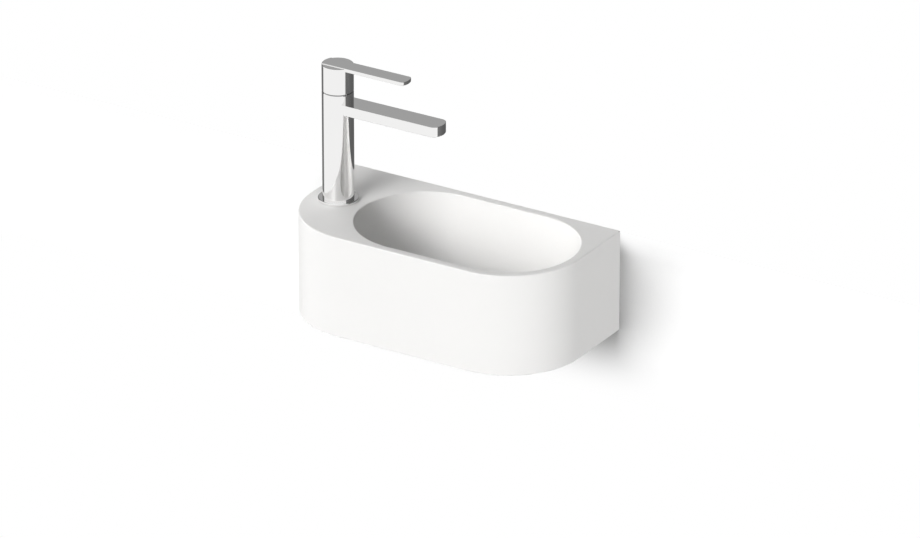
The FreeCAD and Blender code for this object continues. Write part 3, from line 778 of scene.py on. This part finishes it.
def tongue(name, points, low, high):
    """Flat bar drawn up from its plan, which is counted from the tap's axis."""
    start_clean()
    bpy.ops.mesh.primitive_circle_add(
        vertices=len(points), fill_type="NGON", location=(TAP.x, TAP.y, low),
    )
    piece = bpy.context.object
    with editing(piece):
        for vertex, (along, across) in zip(bmesh.from_edit_mesh(piece.data).verts, points):
            vertex.co = (along, across, 0)
        pick_all()
        draw_up(high - low)
        face_outward()
    return settle(name)


class MakeBasin(bpy.types.Operator):
    """Models the cast basin: apron, deck and bowl in one shell that is open from below"""

    bl_idname = "hand_basin.make_basin"
    bl_label = "Basin"

    def execute(self, context):
        basin = sizes("basin")
        thickness = basin.deck_thickness
        piece = block("basin_casting", BASIN_LOW, BASIN_HIGH)
        with editing(piece):
            pick("edges", lambda edge: upright_edge(edge) and middle(edge).y < TAP.y)
            round_edges(basin.corner_radius, segments=48)
            pick("faces", lambda face: face.normal.z < LOOKS_DOWN)
            bpy.ops.mesh.inset(thickness=basin.apron_wall, use_even_offset=True)
            draw_up(DECK - BASIN_LOW.z - thickness)
            pick("edges", lambda edge: level_edge(edge, DECK) and middle(edge).y < -basin.top_edge)
            round_edges(basin.top_edge, segments=5)
            pick("edges", lambda edge: self.foot_edge(edge, basin))
            round_edges(basin.foot_edge, segments=4)
        floor = DECK - basin.bowl_depth
        seat = floor - basin.waste_seat_depth
        underside = seat - basin.waste_floor
        join(
            piece,
            bowl_tool(basin, basin.bowl_wall, -thickness / 2),
            post(basin.waste_boss, underside, floor, WASTE),
        )
        pad_reach = basin.apron_wall + basin.fixing_pad_height
        places = (-basin.fixing_spacing / 2, basin.fixing_spacing / 2)
        for x in places:
            ends = ((x, -basin.apron_wall / 2, 0), (x, -pad_reach, 0))
            join(piece, bar(basin.fixing_pad, *ends))
        cut(piece, bowl_tool(basin, 0, thickness / 2))
        with editing(piece):
            pick("edges", lambda edge: self.rim_edge(edge, basin))
            round_edges(basin.rim_edge, segments=6)
        for x in places:
            ends = ((x, basin.fixing_pad_height, 0), (x, -2 * pad_reach, 0))
            cut(piece, bar(basin.fixing_hole, *ends))
        cut(
            piece,
            post(basin.waste_seat, seat, DECK - basin.bowl_wall, WASTE),
            post(basin.waste_hole, underside - basin.bowl_wall, floor, WASTE),
            post(basin.tap_hole, DECK - 2 * thickness, DECK + thickness, TAP),
        )
        shade(piece, limit=40)
        hand_over(piece, BODY, "solid_surface", "basin")
        return {"FINISHED"}

    @staticmethod
    def foot_edge(edge, basin):
        """True for the outer bottom edge, except along the wall."""
        if not level_edge(edge, BASIN_LOW.z) or middle(edge).y > -basin.foot_edge:
            return False
        outward = middle(edge) - BASIN_MIDDLE
        return any(
            abs(face.normal.z) < LOOKS_SIDEWAYS and face.normal.dot(outward) > 0
            for face in edge.link_faces
        )

    @staticmethod
    def rim_edge(edge, basin):
        """True for the edge between the deck and the bowl."""
        if not level_edge(edge, DECK):
            return False
        left, right = bowl_ends(basin)
        for vertex in edge.verts:
            centre = max(left, min(right, vertex.co.x))
            reach = math.hypot(vertex.co.x - centre, vertex.co.y - TAP.y)
            if not near(reach, bowl_half_width(basin), within=0.0002):
                return False
        return True


class MakeTapBody(bpy.types.Operator):
    """Models the tap's column and spout in one, with the bores that its inner pieces stand in"""

    bl_idname = "hand_basin.make_tap_body"
    bl_label = "Column and spout"

    def execute(self, context):
        tap = sizes("tap")
        low, high = COLUMN_LOW.z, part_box("guide_ring")[0].z
        piece = turned("tap_column_and_spout", [
            (tap.radius, low),
            (tap.radius, high - tap.column_edge),
            (tap.radius - tap.column_edge, high),
        ], TAP, TAP_STEPS)
        spout_high = DECK + tap.spout_top
        spout_low = spout_high - tap.spout_thickness
        plan = tongue_points(tap.radius, tap.spout_reach, tap.spout_width, tap.spout_tip, 0)
        spout = tongue("spout_tool", plan, spout_low, spout_high)
        with editing(spout):
            pick("edges", lambda edge: self.long_edge(edge, tap))
            round_edges(tap.spout_edge, segments=4)
        join(piece, spout)
        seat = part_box("seat_seal")[0].z
        seal_low, seal_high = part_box("headwork_seal")
        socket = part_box("tail_seal")[1]
        socket_radius = socket.x - TAP.x + tap.fit_gap
        seal_radius = seal_high.x - TAP.x
        cut(piece, turned("core_tool", [
            (socket_radius, low - tap.radius),
            (socket_radius, socket.z),
            (tap.riser_bore, socket.z),
            (tap.riser_bore, seat),
            (tap.valve_bore, seat),
            (tap.valve_bore, seal_low.z),
            (seal_radius, seal_low.z),
            (seal_radius, high + tap.radius),
        ], TAP, BORE_STEPS))
        mouth = Vector((TAP.x + tap.spout_reach - tap.mouth_setback, TAP.y, 0))
        mouth_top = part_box("aerator_seal")[1].z
        cut(piece, post(tap.mouth_radius, spout_low - tap.radius, mouth_top, mouth, BORE_STEPS))
        shade(piece)
        true_round(piece, TAP, tap.radius)
        hand_over(piece, BODY, "chrome", "tap_body")
        return {"FINISHED"}

    @staticmethod
    def long_edge(edge, tap):
        """True for the level edges of the spout outside the column."""
        first, second = edge.verts
        return near(first.co.z, second.co.z) and middle(edge).x > TAP.x + tap.radius


class MakeBaseFlange(bpy.types.Operator):
    """Models the round flange at the column's foot"""

    bl_idname = "hand_basin.make_base_flange"
    bl_label = "Base flange"

    def execute(self, context):
        tap = sizes("tap")
        low, high = FLANGE_LOW.z, FLANGE_HIGH.z
        radius = (FLANGE_HIGH.x - FLANGE_LOW.x) / 2
        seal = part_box("base_seal")[1]
        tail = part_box("tap_tail")[1]
        seal_outer = seal.x - TAP.x + tap.fit_gap
        bore = tail.x - TAP.x + tap.flange_bore_gap
        seal_inner = bore + tap.seal_land
        column = tap.radius + tap.fit_gap
        points = [(radius, low)] + rounded_rim(radius, high, tap.flange_edge, steps=8) + [
            (column, high),
            (column, COLUMN_LOW.z),
            (bore, COLUMN_LOW.z),
            (bore, low),
            (seal_inner, low),
            (seal_inner, seal.z),
            (seal_outer, seal.z),
            (seal_outer, low),
            (radius, low),
        ]
        piece = turned("tap_base_flange", points, TAP, TAP_STEPS)
        shade(piece)
        hand_over(piece, BODY, "chrome", "base_flange")
        return {"FINISHED"}


class MakeLever(bpy.types.Operator):
    """Models the cap with its flat lever, hollow from below, with the boss that takes the spindle"""

    bl_idname = "hand_basin.make_lever"
    bl_label = "Lever handle"

    def execute(self, context):
        tap = sizes("tap")
        low = HANDLE_LOW.z
        high = HANDLE_HIGH.z - tap.lever_step
        foot = [(tap.radius - tap.column_edge, low), (tap.radius, low + tap.column_edge)]
        rim = rounded_rim(tap.radius, high, tap.cap_edge, steps=6)
        piece = turned("lever_cap", foot + rim, TAP, TAP_STEPS)
        join(piece, self.plate(tap))
        ceiling = high - tap.cap_roof
        spindle_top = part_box("spindle")[1].z
        boss_low = spindle_top - tap.boss_depth
        hollow = tap.radius - tap.cap_wall
        drive = tap.spline_radius + tap.fit_gap
        cut(piece, turned("hollow_tool", [
            (hollow, low - tap.radius),
            (hollow, ceiling),
            (tap.boss_radius, ceiling),
            (tap.boss_radius, boss_low),
            (drive, boss_low),
            (drive, spindle_top + tap.fit_gap),
        ], TAP))
        end = 2 * tap.radius
        for node, start in (("handle_screw", 0), ("screw_plug", tap.boss_radius + tap.cap_wall)):
            node_low, node_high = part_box(node)
            height = (node_low.z + node_high.z) / 2
            radius = (node_high.z - node_low.z) / 2 + tap.fit_gap
            cut(piece, bar(radius, (TAP.x - start, TAP.y, height), (TAP.x - end, TAP.y, height)))
        shade(piece)
        true_round(piece, TAP, tap.radius)
        hand_over(piece, LEVER, "chrome", "lever_handle")
        return {"FINISHED"}

    @classmethod
    def plate(cls, tap):
        """Flat lever that ends just inside the cap's round, since coinciding faces join badly."""
        high = HANDLE_HIGH.z
        low = high - tap.lever_thickness
        rear = -2 * tap.radius
        plan = tongue_points(tap.radius, tap.lever_reach, tap.lever_width, tap.lever_tip, rear)
        plate = tongue("plate_tool", plan, low, high)
        reach = tap.lever_reach + tap.radius
        rear_radius = tap.radius - tap.lever_inset
        keep = post(rear_radius, low - tap.lever_step, high + tap.lever_step, TAP, TAP_STEPS)
        join(keep, block(
            "front_tool",
            (TAP.x, TAP.y - reach, low - tap.lever_step),
            (TAP.x + reach, TAP.y + reach, high + tap.lever_step),
        ))
        combine(plate, "INTERSECT", [keep])
        with editing(plate):
            pick("edges", lambda edge: cls.heel_edge(edge, tap))
            round_edges(tap.lever_heel, segments=6)
        apply_step(
            plate, "BEVEL", width=tap.lever_edge, segments=3,
            limit_method="ANGLE", angle_limit=math.radians(50),
        )
        return plate

    @staticmethod
    def heel_edge(edge, tap):
        """True for the upper edge of the lever over the cap's rear."""
        ends = [vertex.co for vertex in edge.verts]
        on_round = all(near(math.hypot(end.x - TAP.x, end.y - TAP.y), tap.radius) for end in ends)
        return on_round and level_edge(edge, HANDLE_HIGH.z) and middle(edge).x < TAP.x


class MakeWaste(bpy.types.Operator):
    """Models the waste: flange, threaded tail with its groove, and the three-armed spider"""

    bl_idname = "hand_basin.make_waste"
    bl_label = "Waste"

    def execute(self, context):
        thread = sizes("threads")
        flange_radius = (WASTE_HIGH.x - WASTE_LOW.x) / 2
        tail_radius = thread.waste_radius
        top, low = WASTE_HIGH.z, WASTE_LOW.z
        seal = top - thread.waste_flange
        piece = threaded(
            "waste_with_thread", tail_radius, thread.waste_depth, thread.waste_pitch, low,
            seal + thread.waste_flange / 2, WASTE,
        )
        groove_low = low + thread.outlet_length
        groove_high = groove_low + thread.relief_length
        groove = tail_radius - thread.relief_depth
        cut(piece, turned("groove_tool", [
            (groove, groove_low),
            (flange_radius, groove_low),
            (flange_radius, groove_high),
            (groove, groove_high),
            (groove, groove_low),
        ], WASTE))
        bevel = thread.waste_flange / 2
        join(piece, turned("flange_tool", [
            (flange_radius, seal),
            (flange_radius, top - bevel),
            (flange_radius - bevel * FLANGE_BEND, top - bevel * FLANGE_BEND),
            (flange_radius - bevel, top),
        ], WASTE, WASTE_STEPS))
        bore = tail_radius - thread.waste_wall
        cut(piece, post(bore, low - bevel, top + bevel, WASTE, WASTE_STEPS))
        hub_top = top - thread.spider_sink
        hub_low = hub_top - thread.spider_height
        spider = post(thread.hub_radius, hub_low, hub_top, WASTE, BORE_STEPS)
        for turn in range(ARMS):
            join(spider, self.arm(thread, bore, hub_low, hub_top, turn))
        cut(spider, post(thread.stud_radius, hub_low - bevel, hub_top + bevel, WASTE, BAR_STEPS))
        join(piece, spider)
        shade(piece)
        hand_over(piece, BODY, "chrome", "waste_body")
        return {"FINISHED"}

    @staticmethod
    def arm(thread, bore, low, high, turn):
        """One of the spider's arms, turned into its place."""
        half = thread.spider_width / 2
        end = bore + thread.arm_root
        arm = block("arm_tool", (WASTE.x, WASTE.y - half, low), (WASTE.x + end, WASTE.y + half, high))
        with editing(arm):
            pick_all()
            bpy.ops.transform.rotate(
                value=math.radians(-360 / ARMS * turn), orient_axis="Z",
                center_override=(WASTE.x, WASTE.y, low),
            )
        return arm


class MakeTail(bpy.types.Operator):
    """Models the tap's tail with its fixing thread and its narrower supply thread"""

    bl_idname = "hand_basin.make_tail"
    bl_label = "Tail"

    def execute(self, context):
        thread = sizes("threads")
        low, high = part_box("tap_tail")
        radius = (high.x - low.x) / 2
        step = low.z + thread.inlet_length
        piece = threaded(
            "tap_tail_with_thread", radius, thread.tail_depth, thread.tail_pitch, step, high.z, TAP,
        )
        overlap = thread.inlet_pitch
        join(piece, threaded(
            "inlet_tool", thread.inlet_radius, thread.inlet_depth, thread.inlet_pitch,
            low.z, step + overlap, TAP,
        ))
        cut(piece, post(thread.tail_bore, low.z - overlap, high.z + overlap, TAP, BORE_STEPS))
        shade(piece)
        hand_over(piece, BODY, "brass", "tap_tail")
        return {"FINISHED"}


class FinishNodes(bpy.types.Operator):
    """Gives every solid that stays its finish"""

    bl_idname = "hand_basin.finish_nodes"
    bl_label = "Finish the other solids"

    def execute(self, context):
        slots = {part["node"]: part["material_slot"] for part in frame["record"]["subparts"]}
        # The guide ring gets the darkened plating, painted shade of its gap
        slots["guide_ring"] = "dark_chrome"
        for node, solid in frame["nodes"].items():
            material = finish_of(slots[node])
            for place in solid.material_slots:
                place.material = material
        return {"FINISHED"}


# Stage

SOFT_LIGHTS = (
    "key_light", "high_light", "front_light", "left_light",
    "deck_light", "right_fill", "back_fill", "left_fill",
)

# What the plating mirrors: way to the dark back, where it begins and deepens, and a grey patch
BACK = (0.037, 0.999, 0)
BACK_BEGINS = (-0.005, 0.025)
BACK_DEEPENS = (0.1, 0.8)
GREY_PATCH = (148.5, 24.6, 24)

# Metres, and millimetres for the sensor
SHEET_SIZE = 24
WALL_GAP = 0.0002
CAMERA_SIGHT = 60
SENSOR_WIDTH = 36


class MakeStage(bpy.types.Operator):
    """Sets up wall, floor, soft light and the camera"""

    bl_idname = "hand_basin.make_stage"
    bl_label = "Stage"

    def execute(self, context):
        stage = sizes("stage")
        self.floor(stage)
        self.wall(stage)
        self.light_room(stage)
        self.place_camera(stage)
        context.scene.view_settings.view_transform = "Standard"
        return {"FINISHED"}

    @staticmethod
    def sheet(name, place, turn):
        """A large plain sheet that throws no light back, with the start of its finish."""
        start_clean()
        bpy.ops.mesh.primitive_plane_add(size=SHEET_SIZE, location=place, rotation=turn)
        piece = settle(name)
        material = bpy.data.materials.new(name)
        material.use_nodes = True
        piece.data.materials.append(material)
        piece.visible_glossy = False
        piece.visible_diffuse = False
        piece.visible_shadow = False
        return Finish(material.node_tree)

    @staticmethod
    def whiten(finish, tone, white):
        """Matt surface that takes shadows, mixed with a share of plain white, and clear from behind."""
        matt = finish.add("BsdfDiffuse", sockets={"Color": tone})
        plain = finish.add("Emission", sockets={"Strength": 1.0})
        pale = finish.add("MixShader", sockets={0: white, 1: matt, 2: plain})
        behind = finish.add("NewGeometry", output="Backfacing")
        clear = finish.add("BsdfTransparent")
        surface = finish.add("MixShader", sockets={0: behind, 1: pale, 2: clear})
        finish.add("OutputMaterial", sockets={"Surface": surface})

    @classmethod
    def floor(cls, stage):
        finish = cls.sheet("stage_floor", (0, 0, DECK - stage.floor_drop), (0, 0, 0))
        tone = (stage.floor_white, stage.floor_white, stage.floor_white, 1)
        cls.whiten(finish, tone, stage.floor_lift)

    @classmethod
    def wall(cls, stage):
        """White wall behind the basin that takes its shadow, with painted shade (an ambient occlusion
        tone in its colour) beside it, and painted plain white above and below.
        """
        finish = cls.sheet("stage_wall", (0, BASIN_HIGH.y + WALL_GAP, 0), (math.pi / 2, 0, 0))
        reach = {"Distance": stage.corner_reach}
        # Painted shade: an ambient occlusion node darkens the wall's colour beside the basin
        openness = finish.add("AmbientOcclusion", sockets=reach, output="AO")
        tone = finish.between(openness, [stage.wall_corner] * 3, [stage.wall_white] * 3)
        spot = finish.add("TexCoord", output="Object")
        height = finish.add("SeparateXYZ", sockets={0: spot}, output="Z")
        # Painted light: a plain white glow is mixed in above the deck and below the basin, over the
        # shadows there
        above = finish.fade(height, DECK - stage.fade_above, DECK)
        below = finish.fade(height, BASIN_LOW.z, BASIN_LOW.z - stage.fade_below)
        cls.whiten(finish, tone, above + below)

    @staticmethod
    def toward(room, spot, turn, rise, spread):
        """Soft round patch of the room: 1 in its middle, 0 at its spread. Angles in degrees."""
        turn, rise, spread = math.radians(turn), math.radians(rise), math.radians(spread)
        middle_of = (-math.sin(turn) * math.cos(rise), -math.cos(turn) * math.cos(rise), math.sin(rise))
        return room.fade(room.along(spot, middle_of), math.cos(spread), 1.0)

    @classmethod
    def light_room(cls, stage):
        """White to the camera, soft light for the basin, bright front and dark back for the plating."""
        world = bpy.data.worlds.new("room")
        bpy.context.scene.world = world
        world.use_nodes = True
        room = Finish(world.node_tree)
        spot = room.add("TexCoord", output="Generated")
        soft = 0
        for name in SOFT_LIGHTS:
            turn, rise, spread, strength = getattr(stage, name)
            soft = cls.toward(room, spot, turn, rise, spread) * strength + soft
        back = room.along(spot, BACK)
        behind = room.fade(back, *BACK_BEGINS, way="LINEAR")
        depth = room.fade(back, *BACK_DEEPENS, way="LINEAR")
        grey = cls.toward(room, spot, *GREY_PATCH)
        dark = stage.room_side + depth * (stage.room_dark - stage.room_side)
        dim = dark + grey * (stage.room_grey - dark)
        mirrored = 1 - behind * (1 - dim)
        glossy = room.add("LightPath", output="Is Glossy Ray")
        camera = room.add("LightPath", output="Is Camera Ray")
        lit = soft + glossy * (mirrored - soft)
        seen = lit + camera * (1 - lit)
        tone = room.add("CombineColor", sockets={0: seen, 1: seen, 2: seen})
        light = room.add("Background", sockets={"Color": tone, "Strength": 1.0})
        room.add("OutputWorld", sockets={"Surface": light})

    @staticmethod
    def place_camera(stage):
        start_clean()
        turn = (stage.camera_tilt, 0, stage.camera_turn)
        bpy.ops.object.camera_add(location=stage.camera_place, rotation=turn)
        camera = bpy.context.object
        camera.name = "photo_camera"
        camera.data.sensor_width = SENSOR_WIDTH
        camera.data.lens = stage.camera_lens
        camera.data.clip_end = CAMERA_SIGHT
        bpy.context.scene.camera = camera


class HAND_BASIN_PT_panel(bpy.types.Panel):
    """Lists the steps and their sizes in the sidebar"""

    bl_label = "Hand Basin"
    bl_idname = "HAND_BASIN_PT_panel"
    bl_space_type = "VIEW_3D"
    bl_region_type = "UI"
    bl_category = "Hand Basin"

    def draw(self, context):
        settings = context.scene.hand_basin
        for step in OPERATORS:
            self.layout.operator(step.bl_idname)
        for group in HandBasin.__annotations__:
            values = getattr(settings, group)
            section = self.layout.box()
            section.label(text=group.title())
            for key in values.__annotations__:
                section.prop(values, key)


OPERATORS = [
    MakeBasin, MakeTapBody, MakeBaseFlange, MakeLever, MakeWaste, MakeTail, FinishNodes, MakeStage,
]
GROUPS = [BasinSizes, TapSizes, ThreadSizes, FinishColours, StageSettings, HandBasin]
CLASSES = [*GROUPS, *OPERATORS, HAND_BASIN_PT_panel]


def register():
    for made in CLASSES:
        bpy.utils.register_class(made)
    bpy.types.Scene.hand_basin = PointerProperty(type=HandBasin)


def unregister():
    del bpy.types.Scene.hand_basin
    for made in reversed(CLASSES):
        bpy.utils.unregister_class(made)


def main():
    register()
    for step in OPERATORS:
        getattr(bpy.ops.hand_basin, step.bl_idname.split(".")[1])()


if __name__ == "__main__":
    main()
